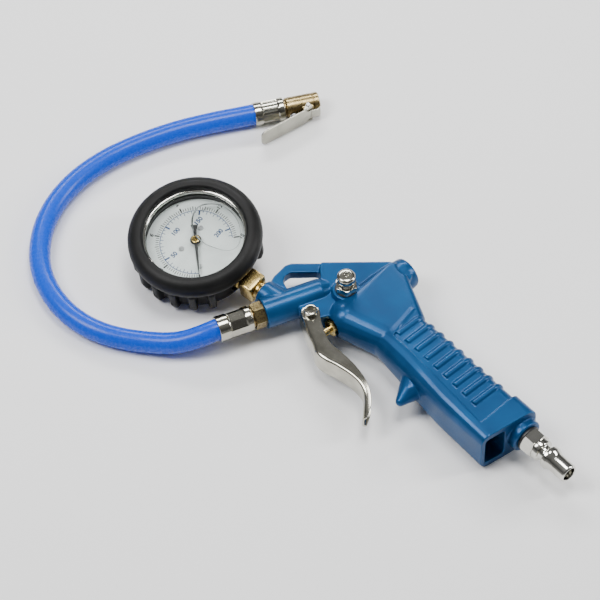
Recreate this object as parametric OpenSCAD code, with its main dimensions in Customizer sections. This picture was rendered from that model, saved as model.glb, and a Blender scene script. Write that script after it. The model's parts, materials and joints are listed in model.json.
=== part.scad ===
// Tyre inflator with a dial gauge, lying on its right side.
// The gun is drawn about its own middle plane: x runs from the muzzle to the rear, y towards the hang loop.

/* [Gun] */
// Height of the gun's middle plane above the surface it lies on
mid_h = 16.32; // [16:0.01:20]
// Lean of the gun as it rests on the gauge boot and the grip, degrees
lie_turn = 0.37; // [0:0.01:2]
// Barrel radius
barrel_r = 9.5; // [9:0.1:10]
// Muzzle face, in front of the trigger pivot
muzzle_x = -23; // [-26:0.5:-20]
// Height of the barrel axis above the trigger pivot's datum
barrel_y = 18; // [17:0.5:19]
// Turn of the valve axis and grip against the barrel, degrees
grip_turn = 19; // [17:0.5:21]
// Half thickness of the grip
grip_half = 15.5; // [14:0.5:16]
// Number of finger ribs on the grip
rib_count = 9; // [5:1:9]
// Distance between ribs
rib_pitch = 8.4; // [7:0.1:9]

/* [Trigger] */
// Pressed sheet thickness of the trigger
sheet = 1.2; // [1:0.1:1.4]
// Half width inside the trigger channel
trigger_inner = 6.5; // [6.4:0.1:7]
// Trigger pivot bolt radius
bolt_r = 2.5; // [2:0.1:2.8]

/* [Gauge] */
// Gauge case radius
case_r = 31.4; // [31:0.1:31.5]
// Lean of the dial about its stem, degrees
gauge_tilt = 8; // [0:1:15]
// Lean of the stem ahead of the gun's upright, degrees
stem_lean = 27; // [24:1:30]
// Width of each lug on the rubber boot
lug_w = 4.6; // [3:0.1:6]
// Needle length from its hub
needle_len = 24; // [18:0.5:25]

/* [Hose] */
// Hose outer radius
hose_r = 6.5; // [6:0.1:6.5]
// Ferrule radius at the gun
ferrule_r = 7.85; // [7.2:0.05:8]
// Radius of the mouth of the chuck
mouth_r = 4.15; // [4.1:0.05:4.3]

/* [Hidden] */
$fn = 48;
eps = 0.01;
fit = 0.05;

// Place of the gun's datum on the surface, so that the whole lies about the origin
shift_x = -9.4;
shift_y = 20.5;

// Trigger pivot
pivot = [1, 2.5];
ear_r = 5.6;
lug_half = 6.2;
bolt_head_r = 4;

// Valve chamber, in the grip's frame
valve_y = -10.5;
chamber_r = 10.5;
nose_r = 12;
chamber_front = 18.6;
chamber_rear = 68;
chamber_bore = 7.5;
stem_r = 2.25;
stem_tip = -8.65;
seat_x = 32;
poppet_end = 36.5;
plug_x = 58;

// Grip, in its own frame
grip_end = -141;
inlet_x = 39.5;
inlet_boss_r = 10.5;
inlet_face = -145;
thread_r = 6.5;
first_rib = -46;
rib_half = 2;

// Bleed valve on the gun's left side
bleed = [26.5, 8.6];
bleed_seat = 10.5;
bleed_hex = 12;
head_bottom = 20;

// Gauge, in its own frame: the stem along -y, the dial facing +z
gauge_at = [-40.5, 78.5];
boss_face = -52;
back_w = -10.2;
rim_w = 10.6;
dial_w = 6;
gear_turn = -50;
gear_gap = 14;
pinion_teeth = 10;
sector_teeth = 60;
link_arm = 6;
lug_step = 18;
boot_ring = [33.6, 12.4];
boot_ring_r = 7.2;

// Hose end fittings
collar_x = -33;
gun_ferrule_x = -53;
chuck_at = [33, 166, 7.2];
chuck_turn = 9;
lever_pin_at = [33, -5.5];

// Route of the hose on the surface, ends inside the two ferrules
hose_path = [
    [-33, 18, 16.5], [-43, 18, 16.5], [-53, 18, 16.4], [-61, 18.4, 15], [-68, 19.8, 12.8],
    [-75, 22.2, 10.5], [-83, 26.3, 8.4], [-93, 32.7, 7], [-103, 39.5, 6.5], [-112.5, 47.5, 6.5],
    [-121, 58, 6.5], [-127.5, 71, 6.5], [-131, 86, 6.5], [-131, 103, 6.5], [-126.5, 119.5, 6.5],
    [-118, 135, 6.5], [-107, 147.5, 6.5], [-94.5, 157, 6.5], [-80, 164.3, 6.5], [-64, 169.3, 6.5],
    [-47, 172, 6.5], [-29, 173, 6.6], [-11, 172.4, 6.8], [7, 170.2, 7.1], [21, 167.9, 7.2],
    [33, 166, 7.2], [41, 164.7, 7.2], [49, 163.5, 7.2]];

// Front line of the trigger, from its top to its tip, and the rear edge of its flanges
trigger_front = [[-4.6, 6], [-6.2, -8], [-6.6, -17], [-7.6, -25], [-5.2, -31.5], [-0.4, -38.5],
    [4.8, -48], [7, -56], [6.2, -64], [-0.4, -77.5]];
trigger_rear = [[2.6, -77.8], [8.6, -70], [11.4, -61], [11.8, -53], [10.2, -42], [6.6, -30.5],
    [3.8, -23.5], [3, -17], [4.4, -6], [6.2, 0.5]];

// ---------- frames ----------

module gun() translate([shift_x, shift_y, mid_h]) rotate([lie_turn, 0, 0]) children();

module grip_frame() gun() rotate([0, 0, grip_turn]) children();

module valve_frame() grip_frame() translate([0, valve_y, 0]) children();

module gauge_frame()
    gun() translate([gauge_at[0], gauge_at[1], 0]) rotate([0, 0, stem_lean])
        rotate([0, -gauge_tilt, 0]) children();

module muzzle_frame() gun() translate([0, barrel_y, 0]) children();

module chuck_frame()
    translate([shift_x, shift_y, 0]) translate(chuck_at) rotate([0, 0, -chuck_turn]) children();

// ---------- shared forms ----------

module rod_x(x0, x1, r) translate([x0, 0, 0]) rotate([0, 90, 0]) cylinder(r = r, h = x1 - x0);

module rod_y(y0, y1, r) translate([0, y1, 0]) rotate([90, 0, 0]) cylinder(r = r, h = y1 - y0);

module hex_rod_x(x0, x1, flats)
    translate([x0, 0, 0]) rotate([0, 90, 0]) cylinder(r = flats / sqrt(3), h = x1 - x0, $fn = 6);

module ring_x(x, middle_r, wire_r)
    translate([x, 0, 0]) rotate([0, 90, 0])
        rotate_extrude() translate([middle_r, 0]) circle(r = wire_r, $fn = 24);

module plate(z0, z1) translate([0, 0, z0]) linear_extrude(height = z1 - z0) children();

// Coil spring along +z, its wire ends cut square
function coil_ring(t, turns, r, wire, length, sides) = [
    for (k = [0 : sides - 1])
        let (a = 360 * turns * t, b = 360 * k / sides)
        [(r + wire * cos(b)) * cos(a), (r + wire * cos(b)) * sin(a),
            wire + (length - 2 * wire) * t + wire * sin(b)]];

function tube_faces(rings, sides) = concat(
    [[for (k = [0 : sides - 1]) k]],
    [for (i = [0 : rings - 2], k = [0 : sides - 1])
        let (a = i * sides + k, b = i * sides + (k + 1) % sides)
        [a, a + sides, b + sides, b]],
    [[for (k = [sides - 1 : -1 : 0]) (rings - 1) * sides + k]]);

module coil(turns, r, wire, length, per_turn = 12, sides = 6) {
    rings = turns * per_turn + 1;
    polyhedron(
        points = [for (i = [0 : rings - 1]) each coil_ring(i / (rings - 1), turns, r, wire, length, sides)],
        faces = tube_faces(rings, sides), convexity = 10);
}

// Points moved sideways from a path by a distance
function path_normal(p, i) =
    let (a = p[max(i - 1, 0)], b = p[min(i + 1, len(p) - 1)], d = b - a)
    [-d[1], d[0]] / norm(d);
function beside(p, t) = [for (i = [0 : len(p) - 1]) p[i] + t * path_normal(p, i)];
function reversed(p) = [for (i = [len(p) - 1 : -1 : 0]) p[i]];

// ---------- gun body ----------

module grip_section(y, x0, x1, half, r)
    for (x = [x0 + r, x1 - r], z = [half - r, r - half])
        translate([x, y, z]) rotate([90, 0, 0]) cylinder(r = r, h = 0.5, center = true, $fn = 32);

// The lower end is cut a little higher at the front than at the back
module grip_form() {
    hull() {
        grip_section(-22, 18.5, 57.5, 9.5, 5);
        grip_section(-42, 16, 48.5, 13.5, 6);
    }
    difference() {
        hull() {
            grip_section(-42, 16, 48.5, 13.5, 6);
            grip_section(-75, 13, 48.5, grip_half, 7);
            grip_section(grip_end + 0.25, 10.5, 48.5, grip_half, 7);
        }
        plate(-20, 20)
            polygon([[5, grip_end + 5.5], [50, grip_end - 0.5], [50, grip_end - 5], [5, grip_end - 5]]);
    }
    translate([inlet_x, 0, 0]) rod_y(inlet_face, -60, inlet_boss_r);
    plate(-6, 6)
        polygon([[20, -60], [11, -68], [1.5, -73.8], [-1.5, -76.5], [-0.5, -79.3], [3, -79.8], [13, -79.5],
            [20, -84]]);
    for (i = [0 : rib_count - 1])
        translate([28, first_rib - i * rib_pitch - rib_half, -grip_half])
            cube([22, 2 * rib_half, 2 * grip_half]);
}

// Shallow pocket on each side, in which the ribs stand
module rib_pockets()
    for (side = [0, 1]) mirror([0, 0, side])
        difference() {
            translate([26, first_rib - (rib_count - 1) * rib_pitch - 6, grip_half - 1.5])
                cube([24, (rib_count - 1) * rib_pitch + 9, 5]);
            for (i = [0 : rib_count - 1])
                translate([28, first_rib - i * rib_pitch - rib_half, 0]) cube([30, 2 * rib_half, 40]);
        }

module chamber_form() {
    rod_x(chamber_front, chamber_rear + 1.5, chamber_r);
    translate([chamber_front, 0, 0]) sphere(r = nose_r);
}

module upper_form() {
    muzzle_frame() rod_x(muzzle_x, 50, barrel_r);
    gun() plate(-9.5, 9.5)
        polygon([[8, 9], [14, -4], [40, -6], [61.5, -2], [67, 4.4], [62.5, 17.8], [58.5, 21.3], [20, 26]]);
    gun() difference() {
        plate(-3.2, 3.2)
            polygon([[-14, 27], [-10.6, 36], [-7, 38.6], [2.5, 43.5], [6, 43.2], [58, 22.5], [50, 12],
                [-10, 18]]);
        plate(-5, 5)
            polygon([[-3.4, 24], [-3.6, 33], [-1.6, 36.2], [2.6, 37.4], [17.5, 31.6], [19, 29.5],
                [18, 24]]);
    }
    gun() plate(-lug_half, lug_half) {
        translate(pivot) circle(r = 4.2);
        polygon([[-2.8, 2.5], [-2.8, 12], [20, 12], [20, -5], [15, -3.5], [5, 0.3]]);
    }
    gun() translate([bleed[0], bleed[1], 0]) cylinder(r = 8, h = bleed_seat);
    gauge_frame() rod_y(boss_face - 13, boss_face, 8.2);
}

module body_bores() {
    muzzle_frame() rod_x(muzzle_x - 1, muzzle_x + 11, 6 + fit);
    muzzle_frame() rod_x(muzzle_x + 10, 24, 3);
    gauge_frame() rod_y(boss_face - 5.8, boss_face + 1, thread_r + fit);
    gauge_frame() rod_y(boss_face - 17, boss_face - 5, 3);
    gun() translate([pivot[0], pivot[1], -20]) cylinder(r = bolt_r + fit, h = 40);
    gun() translate([bleed[0], bleed[1], 0]) cylinder(r = 4 + fit, h = 20);
    valve_frame() {
        rod_x(5, 9.3, 5.6);
        rod_x(5, 24, 4 + fit);
        rod_x(23, seat_x + 1, 4);
        rod_x(seat_x, chamber_rear + 3, chamber_bore);
        translate([28, 0, 0]) rod_y(0, 21, 2.5);
    }
    grip_frame() translate([inlet_x, 0, 0]) {
        rod_y(inlet_face - 1, inlet_face + 12, thread_r + fit);
        rod_y(inlet_face + 11, valve_y, 4);
    }
    // Pocket in the open lower end, ahead of the inlet boss
    grip_frame() translate([13.5, grip_end - 1, -11]) cube([14, 31, 22]);
}

module gun_body()
    color("steelblue")
        difference() {
            union() {
                upper_form();
                valve_frame() chamber_form();
                grip_frame() difference() {
                    grip_form();
                    rib_pockets();
                }
            }
            body_bores();
        }

// ---------- trigger and valve ----------

module pivot_bolt()
    color("silver") gun() translate([pivot[0], pivot[1], 0]) difference() {
        union() {
            translate([0, 0, -13]) cylinder(r = bolt_r, h = 13 + trigger_inner + sheet + 1);
            translate([0, 0, trigger_inner + sheet + 0.3]) cylinder(r = bolt_head_r, h = 3.2);
        }
        translate([0, 0, trigger_inner + sheet + 1.3]) cylinder(r = 2.1, h = 4, $fn = 6);
    }

module pivot_nut()
    color("silver") gun() translate([pivot[0], pivot[1], -trigger_inner - sheet - 4.3]) difference() {
        cylinder(r = 8 / sqrt(3), h = 4, $fn = 6);
        translate([0, 0, -1]) cylinder(r = bolt_r + fit, h = 6);
    }

module trigger()
    color("gainsboro") gun() difference() {
        union() {
            plate(-trigger_inner - sheet, trigger_inner + sheet)
                polygon(concat(trigger_front, reversed(beside(trigger_front, sheet))));
            for (side = [0, 1]) mirror([0, 0, side])
                plate(trigger_inner, trigger_inner + sheet) {
                    polygon(concat(trigger_front, trigger_rear));
                    translate(pivot) circle(r = ear_r);
                }
        }
        translate([pivot[0], pivot[1], -20]) cylinder(r = bolt_r + fit, h = 40);
    }

module valve_gland()
    color("goldenrod") valve_frame() difference() {
        union() {
            rod_x(9, 22, 4);
            hex_rod_x(5.8, 9.2, 9);
        }
        rod_x(0, 30, stem_r + fit);
        rod_x(19, 23, 3.6);
    }

module gland_oring()
    color("black") valve_frame() ring_x(20.4, 2.94, 0.62);

module valve_stem()
    color("goldenrod") valve_frame() {
        difference() {
            union() {
                rod_x(stem_tip + stem_r, 33.5, stem_r);
                translate([stem_tip + stem_r, 0, 0]) sphere(r = stem_r);
            }
            rod_x(25, 26.5, 5);
        }
        rod_x(24.9, 26.6, 1.7);
        rod_x(33.2, poppet_end, 5.6);
        rod_x(poppet_end - eps, poppet_end + 3, 3);
    }

module poppet_seal()
    color("black") valve_frame() difference() {
        rod_x(seat_x + fit, 33.2, 5.4);
        rod_x(30, 35, stem_r + 0.02);
    }

module valve_spring()
    color("silver") valve_frame() translate([poppet_end, 0, 0]) rotate([0, 90, 0])
        coil(7, 4.6, 0.6, plug_x - poppet_end);

module chamber_plug()
    color("goldenrod") valve_frame() difference() {
        rod_x(plug_x, chamber_rear + 1, chamber_bore - fit);
        difference() {
            rod_x(60, 61.6, 9);
            rod_x(59, 62, 6.15);
        }
        translate([chamber_rear - 1, -1, -9]) cube([4, 2, 18]);
    }

module chamber_oring()
    color("black") valve_frame() ring_x(60.8, 6.82, 0.6);

// ---------- bleed valve ----------

module bleed_frame() gun() translate([bleed[0], bleed[1], 0]) children();

module bleed_washer()
    color("black") bleed_frame() translate([0, 0, bleed_seat]) difference() {
        cylinder(r = 6.6, h = 0.8);
        translate([0, 0, -1]) cylinder(r = 4.2, h = 3);
    }

module bleed_body()
    color("silver") bleed_frame() difference() {
        union() {
            translate([0, 0, 3]) cylinder(r = 4, h = 10);
            translate([0, 0, bleed_seat + 0.8]) cylinder(r = bleed_hex / sqrt(3), h = 4.5, $fn = 6);
            translate([0, 0, bleed_seat + 5.2]) cylinder(r = 5, h = 1.7);
        }
        cylinder(r = 1.5 + fit, h = 30);
        translate([0, 0, 13]) cylinder(r = 3.2, h = 20);
    }

module bleed_button()
    color("silver") bleed_frame() {
        translate([0, 0, 3.5]) cylinder(r = 1.5, h = head_bottom - 3);
        translate([0, 0, head_bottom]) rotate_extrude()
            polygon([[0, 0], [4.9, 0], [5.1, 1], [4.8, 2.6], [3.4, 3.7], [1.6, 4.2], [0, 4.3]]);
    }

module bleed_spring()
    color("silver") bleed_frame() translate([0, 0, 13]) coil(6, 2.35, 0.4, head_bottom - 13);

// ---------- inlet ----------

module inlet_frame() grip_frame() translate([inlet_x, 0, 0]) children();

module inlet_plug()
    color("silver") inlet_frame() rotate([90, 0, 0]) difference() {
        union() {
            translate([0, 0, 133.5]) cylinder(r = thread_r, h = 14);
            translate([0, 0, 147]) cylinder(r = 15 / sqrt(3), h = 8, $fn = 6);
            rotate_extrude() polygon([[0, 154], [7.1, 154], [7.1, 158.6], [5, 159.2], [5, 162], [7.4, 163],
                [7.4, 166], [5.9, 168.5], [5.9, 179.6], [5.2, 180.4], [0, 180.4]]);
        }
        translate([0, 0, 130]) cylinder(r = 3.6, h = 60);
        translate([0, 0, 172]) cylinder(r = 4.4, h = 60);
    }

module inlet_seal()
    color("black") inlet_frame() difference() {
        rod_y(-147, inlet_face, 8);
        rod_y(-150, -140, thread_r + 0.1);
    }

// ---------- hose fittings at the gun ----------

module hose_adapter()
    color("darkgoldenrod") muzzle_frame() difference() {
        union() {
            rod_x(muzzle_x, muzzle_x + 10, 6);
            hex_rod_x(muzzle_x - 7, muzzle_x, 14);
            rod_x(collar_x, muzzle_x - 6, 6.45);
            for (i = [0 : 3]) translate([collar_x - 4 * i, 0, 0]) rotate([0, -90, 0])
                cylinder(r1 = 4.4, r2 = 3.7, h = 4);
        }
        rod_x(-60, 0, 2.6);
    }

module gun_ferrule()
    color("silver") muzzle_frame() difference() {
        union() {
            rod_x(gun_ferrule_x, collar_x + 1.6, ferrule_r);
            rod_x(gun_ferrule_x + 3, collar_x - 2, ferrule_r + 0.15);
        }
        rod_x(-60, 0, hose_r + 0.1);
    }

// ---------- gauge ----------

module gauge_socket()
    color("goldenrod") gauge_frame() difference() {
        union() {
            translate([-6, -29.6, -6.5]) cube([12, 12.7, 11]);
            rod_y(-31, -29, 5.4);
            rod_y(-40, -30.4, 6.8);
            translate([-7, -48.5, -7]) cube([14, 10, 14]);
            rod_y(-56.7, -48, thread_r);
        }
        rod_y(-70, -22, 2);
    }

module gauge_case()
    color("dimgray") gauge_frame() difference() {
        rotate_extrude() polygon([[0, back_w], [case_r - 1, back_w], [case_r, back_w + 1], [case_r, rim_w],
            [case_r - 1, rim_w], [case_r - 1, back_w + 1.2], [0, back_w + 1.2]]);
        rod_y(-40, -25, 7);
        rod_y(20, 40, 3.1);
    }

module lens_gasket()
    color("black") gauge_frame() rotate_extrude() translate([29.6, rim_w]) square([1.7, 0.8]);

module lens()
    color([0.8, 0.9, 0.95, 0.4]) gauge_frame() rotate_extrude()
        polygon([[0, 12.4], [0, 14.6], [12, 14.4], [22, 13.95], [28.5, 13.4], [31.2, 13.4], [31.2, 11.4],
            [28, 11.4],
            [18, 12]]);

module bezel()
    color("silver") gauge_frame() rotate_extrude()
        polygon([[case_r + 0.05, 7.4], [32.2, 7.4], [32.2, 14.4], [31.7, 15.2], [30.4, 15.2], [29.8, 14.4],
            [29.8, 13.45], [case_r + 0.05, 13.45]]);

module dial()
    color("white") gauge_frame() difference() {
        translate([0, 0, dial_w]) cylinder(r = 30.2, h = 0.5);
        cylinder(r = 2, h = 20);
        for (side = [-1, 1]) translate([9 * side, 4, 0]) cylinder(r = 0.9, h = 20);
    }

module dial_screws()
    color("silver") gauge_frame() for (side = [-1, 1]) translate([9 * side, 4, 0]) {
        translate([0, 0, 4]) cylinder(r = 0.8, h = dial_w - 3);
        translate([0, 0, dial_w + 0.5]) cylinder(r = 1.6, h = 0.7);
    }

module stop_pin()
    color("silver") gauge_frame() rotate([0, 0, 225 + 5])
        translate([18, 0, dial_w + 0.5]) cylinder(r = 0.5, h = 3);

module fill_plug()
    color("black") gauge_frame() {
        rod_y(29.6, case_r + 0.1, 3);
        rod_y(case_r + 0.02, case_r + 0.7, 4);
    }

// Rubber boot: thick round front ring, thinner wall, open back and lugs on the wall
module gauge_boot()
    color("#222222") gauge_frame() difference() {
        union() {
            rotate_extrude() difference() {
                union() {
                    translate(boot_ring) circle(r = boot_ring_r);
                    polygon([[30, -12.4], [32, -12.4], [34.4, -9], [35, 8], [30, 8]]);
                    translate([20, -12.4]) square([11, 2.1]);
                }
                polygon([[0, back_w - fit], [case_r + 0.1, back_w - fit], [case_r + 0.1, 6.5], [32.3, 6.5],
                    [32.3, 15.3], [31, 15.3], [31, 30], [0, 30]]);
            }
            for (i = [2 : 18]) rotate([0, 0, -90 + lug_step * i]) rotate([90, 0, 0])
                plate(-lug_w / 2, lug_w / 2)
                    polygon([[33, 10], [40, 9], [39.8, -4], [38, -9.4], [33.4, -11]]);
        }
        rod_y(-45, -20, 7.6);
        rod_y(20, 34, 4.2);
    }

module movement_frame()
    color("goldenrod") gauge_frame() difference() {
        union() {
            for (z = [-5.5, 2.8]) plate(z, z + 1.2)
                polygon([[-13, -9], [-6, -16.9], [13.5, -16.9], [13.5, -4], [14, 12], [-13, 12]]);
            for (p = [[-11, 9], [11.5, 9.5], [-10.5, -8.5]]) translate([p[0], p[1], -5.4])
                cylinder(r = 1.3, h = 9);
            for (side = [-1, 1]) translate([9 * side, 4, 3.9]) cylinder(r = 1.7, h = dial_w - 3.9);
        }
        translate([0, 0, -10]) cylinder(r = 0.8 + fit, h = 20);
        translate([gear_gap * cos(gear_turn), gear_gap * sin(gear_turn), -10])
            cylinder(r = 0.8 + fit, h = 20);
        for (side = [-1, 1]) translate([9 * side, 4, 3.5]) cylinder(r = 0.8 + fit, h = 5);
    }

module bourdon_tube()
    color("goldenrod") gauge_frame() {
        rotate([0, 0, -12]) rotate_extrude(angle = 266.5) translate([20.6, -4]) square([2.8, 7.6]);
        rotate([0, 0, -12]) translate([20.2, -1.6, -4]) cube([3.6, 1.7, 7.6]);
    }

// Flat spiral hairspring about the pinion shaft
function spiral(t, r0, step, turns) =
    (r0 + step * turns * t) * [cos(360 * turns * t), sin(360 * turns * t)];
module hairspring()
    color("goldenrod") gauge_frame() plate(-3.4, -2.8)
        polygon(concat([for (i = [0 : 60]) spiral(i / 60, 2, 0.9, 4)],
            reversed([for (i = [0 : 60]) spiral(i / 60, 2.2, 0.9, 4)])));

// Gear of straight-sided teeth, one of them on +x
module gear(teeth, outer, root, tip_w) {
    circle(r = root);
    for (i = [0 : teeth - 1]) rotate(360 * i / teeth)
        polygon([[root - 0.3, -tip_w], [outer, -tip_w / 2], [outer, tip_w / 2], [root - 0.3, tip_w]]);
}

module pinion()
    color("goldenrod") gauge_frame() {
        translate([0, 0, -5.4]) cylinder(r = 0.8, h = 13.8);
        plate(-0.6, 2) rotate(gear_turn + 180 / pinion_teeth)
            gear(pinion_teeth, 2.3, 1.5, 0.28);
    }

module needle_hub()
    color("goldenrod") gauge_frame() translate([0, 0, 8.3]) difference() {
        cylinder(r = 2.6, h = 2);
        translate([0, 0, -1]) cylinder(r = 0.81, h = 1.2);
    }

// Needle at its zero, pointing to the lower left of the dial
module needle()
    color("black") gauge_frame() translate([0, 0, 8.8]) rotate([0, 0, 225]) difference() {
        plate(0, 0.6)
            union() {
                circle(r = 3.4);
                polygon([[2, -1.1], [needle_len - 4, -0.5], [needle_len, 0], [needle_len - 4, 0.5],
                    [2, 1.1]]);
                polygon([[-2, -0.9], [-7, -1.9], [-10.5, -2.4], [-10.5, 2.4], [-7, 1.9], [-2, 0.9]]);
            }
        translate([0, 0, -1]) cylinder(r = 2.61, h = 3);
    }

module sector()
    color("goldenrod") gauge_frame() translate([gear_gap * cos(gear_turn), gear_gap * sin(gear_turn), 0]) {
        translate([0, 0, -5.4]) cylinder(r = 0.8, h = 9.3);
        translate([0, 0, -0.2]) linear_extrude(height = 1.8) {
            intersection() {
                rotate(gear_turn + 180) gear(sector_teeth, 12.3, 11.4, 0.28);
                polygon([[0, 0], for (a = [139, 106, 73]) 14 * [cos(a), sin(a)]]);
            }
            circle(r = 2.4);
            rotate(-65) translate([0, -1.2]) square([link_arm, 2.4]);
            rotate(-65) translate([link_arm, 0]) circle(r = 1.3);
        }
        rotate([0, 0, -65]) translate([link_arm, 0, 1.5]) cylinder(r = 0.6, h = 1.2);
    }

module link()
    color("goldenrod") gauge_frame()
        translate([gear_gap * cos(gear_turn) + link_arm * cos(-65),
            gear_gap * sin(gear_turn) + link_arm * sin(-65), 1.75])
            rotate([0, 0, 49]) difference() {
                plate(0, 0.75) {
                    circle(r = 1.2);
                    translate([0, -0.7]) square([7, 1.4]);
                    translate([7, 0]) circle(r = 1.1);
                }
                translate([0, 0, -1]) cylinder(r = 0.6 + fit, h = 3);
            }

// ---------- hose and chuck ----------

function to_unit(v) = v / norm(v);
function path_way(p, i) = to_unit(p[min(i + 1, len(p) - 1)] - p[max(i - 1, 0)]);
function path_ring(p, i, r, sides) =
    let (way = path_way(p, i), side = to_unit(cross([0, 0, 1], way)), up = cross(way, side))
    [for (k = [0 : sides - 1])
        let (a = 360 * (k + 0.5) / sides) p[i] + r * (cos(a) * side + sin(a) * up)];
// Points halfway between the route's points, on a smooth curve through them
function between(p, i) =
    let (a = p[max(i - 1, 0)], b = p[i], c = p[i + 1], d = p[min(i + 2, len(p) - 1)])
    (9 * (b + c) - a - d) / 16;
function smoothed(p) = [for (i = [0 : len(p) - 1]) each i < len(p) - 1 ? [p[i], between(p, i)] : [p[i]]];

module hose() {
    sides = 12;
    way = smoothed(hose_path);
    color("royalblue") translate([shift_x, shift_y, 0])
        polyhedron(points = [for (i = [0 : len(way) - 1]) each path_ring(way, i, hose_r, sides)],
            faces = tube_faces(len(way), sides), convexity = 10);
}

module chuck_ferrule()
    color("silver") chuck_frame() difference() {
        rod_x(0, 18.8, 7.2);
        rod_x(-1, 20, hose_r + 0.1);
    }

module chuck_body()
    color("darkgoldenrod") chuck_frame() difference() {
        union() {
            rod_x(16.3, 20, 6.45);
            rod_x(19, 41, 6.4);
            translate([29.5, -6.9, -4.9]) cube([7, 6.9, 9.8]);
            for (i = [0 : 2]) translate([16.4 - 4 * i, 0, 0]) rotate([0, -90, 0])
                cylinder(r1 = 4.4, r2 = 3.7, h = 4);
        }
        rod_x(0, 27, 2.2);
        rod_x(26.5, 28, 4);
        rod_x(28, 31, 4.9);
        rod_x(31, 42, mouth_r);
        translate([38.7, -8, -2.6]) cube([4, 6, 5.2]);
        translate([lever_pin_at[0], lever_pin_at[1], -10]) cylinder(r = 1.2 + fit, h = 20);
    }

module chuck_seal()
    color("black") chuck_frame() difference() {
        rod_x(28.1, 30.9, 4.85);
        rod_x(27, 32, 2.6);
    }

module chuck_depressor()
    color("goldenrod") chuck_frame() {
        rod_x(27, 30.9, 1.2);
        difference() {
            rod_x(26.6, 27.9, 3.95);
            for (a = [0 : 120 : 240]) rotate([a, 0, 0]) translate([0, 2.6, 0]) rod_x(26, 29, 0.9);
        }
    }

module lever_pin()
    color("silver") chuck_frame() translate([lever_pin_at[0], lever_pin_at[1], -7])
        cylinder(r = 1.2, h = 14);

module chuck_lever()
    color("gainsboro") chuck_frame() difference() {
        union() {
            plate(-6.3, 6.3)
                polygon([[-0.2, -20.8], [0.4, -19.7], [35.8, -7.1], [40.2, -7.1], [40.2, -8.3],
                    [35.6, -8.3]]);
            plate(-2.3, 2.3) polygon([[39, -8], [40.2, -8], [40.2, -4.3], [39, -4.3]]);
            for (side = [0, 1]) mirror([0, 0, side]) plate(5.2, 6.3) {
                polygon([[26, -11.4], [31.6, -6.2], [34.4, -6.2], [36.6, -7.9]]);
                translate(lever_pin_at) circle(r = 1.6);
            }
        }
        translate([lever_pin_at[0], lever_pin_at[1], -10]) cylinder(r = 1.2 + fit, h = 20);
    }

module lever_spring()
    color("silver") chuck_frame() translate([23.5, -6.5, 0]) rotate([90, 0, 0]) coil(5, 2, 0.35, 4);

gun_body();
pivot_bolt();
pivot_nut();
valve_gland();
gland_oring();
chamber_plug();
chamber_oring();
bleed_body();
bleed_washer();
inlet_plug();
inlet_seal();
hose_adapter();
trigger();
valve_stem();
poppet_seal();
valve_spring();
bleed_button();
bleed_spring();
gauge_socket();
gauge_case();
bezel();
lens();
lens_gasket();
dial();
dial_screws();
stop_pin();
fill_plug();
gauge_boot();
movement_frame();
bourdon_tube();
hairspring();
needle();
needle_hub();
pinion();
sector();
link();
hose();
gun_ferrule();
chuck_ferrule();
chuck_body();
chuck_seal();
chuck_depressor();
lever_pin();
chuck_lever();
lever_spring();
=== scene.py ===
import json
import math
import bmesh
import bpy
from mathutils import Matrix, Vector


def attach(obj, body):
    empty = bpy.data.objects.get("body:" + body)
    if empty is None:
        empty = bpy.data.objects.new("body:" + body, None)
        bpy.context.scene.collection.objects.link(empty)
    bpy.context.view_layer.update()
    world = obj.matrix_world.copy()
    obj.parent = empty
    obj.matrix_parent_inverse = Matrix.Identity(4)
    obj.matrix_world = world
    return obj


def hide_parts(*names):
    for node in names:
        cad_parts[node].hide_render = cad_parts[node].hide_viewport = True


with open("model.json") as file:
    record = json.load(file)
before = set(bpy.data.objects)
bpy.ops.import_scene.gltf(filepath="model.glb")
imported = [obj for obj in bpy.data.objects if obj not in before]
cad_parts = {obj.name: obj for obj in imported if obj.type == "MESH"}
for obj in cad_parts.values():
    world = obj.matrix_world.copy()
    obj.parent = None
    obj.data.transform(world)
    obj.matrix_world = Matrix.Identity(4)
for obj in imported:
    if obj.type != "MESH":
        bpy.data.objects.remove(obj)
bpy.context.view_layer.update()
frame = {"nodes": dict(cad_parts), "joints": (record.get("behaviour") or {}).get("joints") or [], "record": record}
print("frame loaded")

mm = 0.001
joints = {j["name"]: j for j in frame["joints"]}
mounts = {m["name"]: m for m in frame["record"]["mounts"]}


# each part of the tool has its own axes, in millimetres: ahead, top and the side that faces up as it lies
def place(origin, ahead, top):
    axes = Matrix((ahead, top, ahead.cross(top))).transposed().to_4x4()
    return Matrix.Translation(origin) @ axes @ Matrix.Scale(mm, 4)


def spin(degrees, axis):
    return Matrix.Rotation(math.radians(degrees), 4, axis)


def shift(x, y, z):
    return Matrix.Translation((x, y, z))


angles = {"grip": 19, "stem": 27}  # degrees, turned from the barrel
pivotFromDatum = Vector((1, 2.5, 0))
gunUp = Vector(joints["trigger_pivot"]["axis"]).normalized()
gunAhead = Vector((1, 0, 0))
gunTop = gunUp.cross(gunAhead)
pivotAt = Vector(joints["trigger_pivot"]["pos_m"])
gunPlace = place(pivotAt - (gunAhead * pivotFromDatum.x + gunTop * pivotFromDatum.y) * mm, gunAhead, gunTop)
gripPlace = gunPlace @ spin(angles["grip"], "Z")
inletPlace = gripPlace @ shift(39.5, 0, 0) @ spin(90, "X")  # z runs down the grip and out of its end
barrelPlace = gunPlace @ shift(0, 18, 0) @ spin(90, "Y")
bleedPlace = gunPlace @ shift(26.5, 8.6, 0)

dialUp = Vector(joints["needle_turn"]["axis"]).normalized()
stemWay = (gunPlace.to_3x3() @ spin(angles["stem"], "Z").to_3x3() @ Vector((0, 1, 0))).normalized()
gaugePlace = place(Vector(joints["needle_turn"]["pos_m"]), stemWay.cross(dialUp), stemWay)
stemPlace = gaugePlace @ spin(90, "X")  # z runs down the stem
gaugeAt = gunPlace.inverted() @ gaugePlace.translation

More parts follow.
